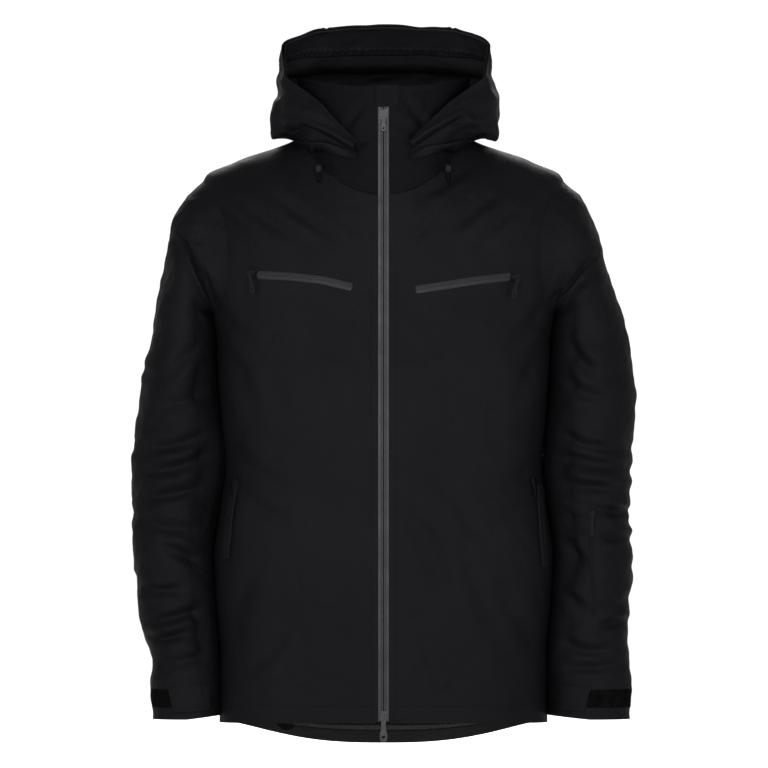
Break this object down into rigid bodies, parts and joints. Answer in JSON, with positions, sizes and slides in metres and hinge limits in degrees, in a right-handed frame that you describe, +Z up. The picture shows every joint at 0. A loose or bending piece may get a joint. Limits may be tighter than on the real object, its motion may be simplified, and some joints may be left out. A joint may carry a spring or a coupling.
{
  "type": "ski jacket",
  "caption": "Hooded insulated ski jacket in its worn shape, with a two-way front zip, jointed sleeves, welded chest pockets, forearm pocket and powder skirt.",
  "frame": {"origin": "middle of the hanger loop inside the back of the neck", "axes": "+Z up the body, the front faces -Y, the wearer's left is +X"},
  "size_m": [0.6514, 0.3167, 0.937],
  "materials": {
    "shell_fabric": "matte coated plain weave",
    "lining_fabric": "smooth taffeta",
    "wadding": "lofted fibre",
    "coated_zip": "satin polyurethane coating",
    "zip_metal": "satin black",
    "black_plastic": "satin",
    "hook_and_loop": "looped pile",
    "elastic_cord": "braided"
  },
  "bodies": {
    "jacket_body": {"front_panel_left": "shell_fabric", "front_panel_right": "shell_fabric", "back_panel": "shell_fabric", "body_insulation": "wadding", "body_lining": "lining_fabric", "collar_shell_left": "shell_fabric", "collar_shell_right": "shell_fabric", "collar_lining": "lining_fabric", "main_zip_tape_left": "coated_zip", "main_zip_tape_right": "coated_zip", "storm_flap": "shell_fabric", "zip_garage": "shell_fabric", "powder_skirt": "lining_fabric", "hanger_loop": "shell_fabric", "chest_zip_left": "coated_zip", "chest_pocket_bag_left": "lining_fabric", "hand_zip_left": "coated_zip", "hand_pocket_welt_left": "shell_fabric", "sleeve_head_left": "shell_fabric", "hood_corner_left": "shell_fabric", "hood_cord_left": "elastic_cord", "chest_zip_right": "coated_zip", "chest_pocket_bag_right": "lining_fabric", "hand_zip_right": "coated_zip", "hand_pocket_welt_right": "shell_fabric", "sleeve_head_right": "shell_fabric", "hood_corner_right": "shell_fabric", "hood_cord_right": "elastic_cord"},
    "hood": {"hood_center_panel": "shell_fabric", "hood_side_left": "shell_fabric", "hood_side_right": "shell_fabric", "hood_brim": "shell_fabric", "hood_lining": "lining_fabric"},
    "upper_arm_left": {"sleeve_upper_left": "shell_fabric"},
    "forearm_left": {"sleeve_lower_left": "shell_fabric", "sleeve_lining_left": "lining_fabric", "cuff_loop_patch_left": "hook_and_loop", "sleeve_zip": "coated_zip"},
    "cuff_tab_body_left": {"cuff_tab_left": "shell_fabric"},
    "upper_arm_right": {"sleeve_upper_right": "shell_fabric"},
    "forearm_right": {"sleeve_lower_right": "shell_fabric", "sleeve_lining_right": "lining_fabric", "cuff_loop_patch_right": "hook_and_loop"},
    "cuff_tab_body_right": {"cuff_tab_right": "shell_fabric"},
    "top_slider": {"main_slider_top": "zip_metal"},
    "top_pull": {"main_puller_top": "zip_metal"},
    "bottom_slider": {"main_slider_bottom": "zip_metal"},
    "bottom_pull": {"main_puller_bottom": "zip_metal"},
    "chest_slider_body_left": {"chest_slider_left": "zip_metal"},
    "chest_pull_left": {"chest_puller_left": "black_plastic"},
    "hand_slider_body_left": {"hand_slider_left": "zip_metal"},
    "chest_slider_body_right": {"chest_slider_right": "zip_metal"},
    "chest_pull_right": {"chest_puller_right": "black_plastic"},
    "hand_slider_body_right": {"hand_slider_right": "zip_metal"},
    "sleeve_slider_body": {"sleeve_slider": "zip_metal"},
    "sleeve_pull": {"sleeve_puller": "zip_metal"},
    "cord_lock_body_left": {"cord_lock_left": "black_plastic"},
    "cord_button_left": {"cord_lock_button_left": "black_plastic"},
    "cord_lock_body_right": {"cord_lock_right": "black_plastic"},
    "cord_button_right": {"cord_lock_button_right": "black_plastic"}
  },
  "joints": [
    {"name": "hood_fold", "type": "hinge", "parent": "jacket_body", "child": "hood", "pos_m": [0, 0.023, 0.006], "axis": [-1, 0, 0], "range_deg": [0, 65]},
    {"name": "shoulder_left", "type": "hinge", "parent": "jacket_body", "child": "upper_arm_left", "pos_m": [0.261, -0.072, -0.233], "axis": [0, -1, 0], "range_deg": [0, 35]},
    {"name": "elbow_left", "type": "hinge", "parent": "upper_arm_left", "child": "forearm_left", "pos_m": [0.271, -0.102, -0.432], "axis": [-1, 0, 0], "range_deg": [0, 45]},
    {"name": "shoulder_right", "type": "hinge", "parent": "jacket_body", "child": "upper_arm_right", "pos_m": [-0.261, -0.072, -0.233], "axis": [0, 1, 0], "range_deg": [0, 35]},
    {"name": "elbow_right", "type": "hinge", "parent": "upper_arm_right", "child": "forearm_right", "pos_m": [-0.271, -0.102, -0.432], "axis": [-1, 0, 0], "range_deg": [0, 45]},
    {"name": "zip_top", "type": "slide", "parent": "jacket_body", "child": "top_slider", "axis": [0, -0.0601, -0.9982], "range_m": [0, 0.37]},
    {"name": "zip_bottom", "type": "slide", "parent": "jacket_body", "child": "bottom_slider", "axis": [0, 0, 1], "range_m": [0, 0.36]},
    {"name": "pull_top", "type": "hinge", "parent": "top_slider", "child": "top_pull", "pos_m": [0, -0.19607, 0.0194], "axis": [-1, 0, 0], "range_deg": [0, 80]},
    {"name": "pull_bottom", "type": "hinge", "parent": "bottom_slider", "child": "bottom_pull", "pos_m": [0, -0.2199, -0.7591], "axis": [-1, 0, 0], "range_deg": [0, 80]},
    {"name": "chest_zip_left", "type": "slide", "parent": "jacket_body", "child": "chest_slider_body_left", "axis": [-0.9603, -0.2503, -0.1237], "range_m": [0, 0.1]},
    {"name": "chest_pull_swing_left", "type": "hinge", "parent": "chest_slider_body_left", "child": "chest_pull_left", "pos_m": [0.17333, -0.18925, -0.18956], "axis": [-0.2522, 0.9677, 0], "range_deg": [-30, 30]},
    {"name": "chest_zip_right", "type": "slide", "parent": "jacket_body", "child": "chest_slider_body_right", "axis": [0.9586, -0.2461, -0.1431], "range_m": [0, 0.1]},
    {"name": "chest_pull_swing_right", "type": "hinge", "parent": "chest_slider_body_right", "child": "chest_pull_right", "pos_m": [-0.17333, -0.18924, -0.18362], "axis": [0.2487, 0.9686, 0], "range_deg": [-30, 30]},
    {"name": "sleeve_zip_slide", "type": "slide", "parent": "forearm_left", "child": "sleeve_slider_body", "axis": [0, 0, -1], "range_m": [0, 0.125]},
    {"name": "sleeve_pull_swing", "type": "hinge", "parent": "sleeve_slider_body", "child": "sleeve_pull", "pos_m": [0.271, -0.147, -0.5], "axis": [-1, 0, 0], "range_deg": [0, 80]},
    {"name": "hand_zip_left", "type": "slide", "parent": "jacket_body", "child": "hand_slider_body_left", "axis": [0.1121, 0.0082, -0.9937], "range_m": [0, 0.085]},
    {"name": "cuff_tab_open_left", "type": "hinge", "parent": "forearm_left", "child": "cuff_tab_body_left", "pos_m": [0.23556, -0.13113, -0.73], "axis": [0, 0, -1], "range_deg": [0, 60]},
    {"name": "cord_lock_slide_left", "type": "slide", "parent": "jacket_body", "child": "cord_lock_body_left", "axis": [0, 0, 1], "range_m": [0, 0.005]},
    {"name": "cord_button_press_left", "type": "slide", "parent": "cord_lock_body_left", "child": "cord_button_left", "axis": [0, 1, 0], "range_m": [0, 0.002], "stiffness_N_per_m": 300},
    {"name": "hand_zip_right", "type": "slide", "parent": "jacket_body", "child": "hand_slider_body_right", "axis": [-0.1121, 0.0082, -0.9937], "range_m": [0, 0.085]},
    {"name": "cuff_tab_open_right", "type": "hinge", "parent": "forearm_right", "child": "cuff_tab_body_right", "pos_m": [-0.23556, -0.13113, -0.73], "axis": [0, 0, 1], "range_deg": [0, 60]},
    {"name": "cord_lock_slide_right", "type": "slide", "parent": "jacket_body", "child": "cord_lock_body_right", "axis": [0, 0, 1], "range_m": [0, 0.005]},
    {"name": "cord_button_press_right", "type": "slide", "parent": "cord_lock_body_right", "child": "cord_button_right", "axis": [0, 1, 0], "range_m": [0, 0.002], "stiffness_N_per_m": 300}
  ]
}
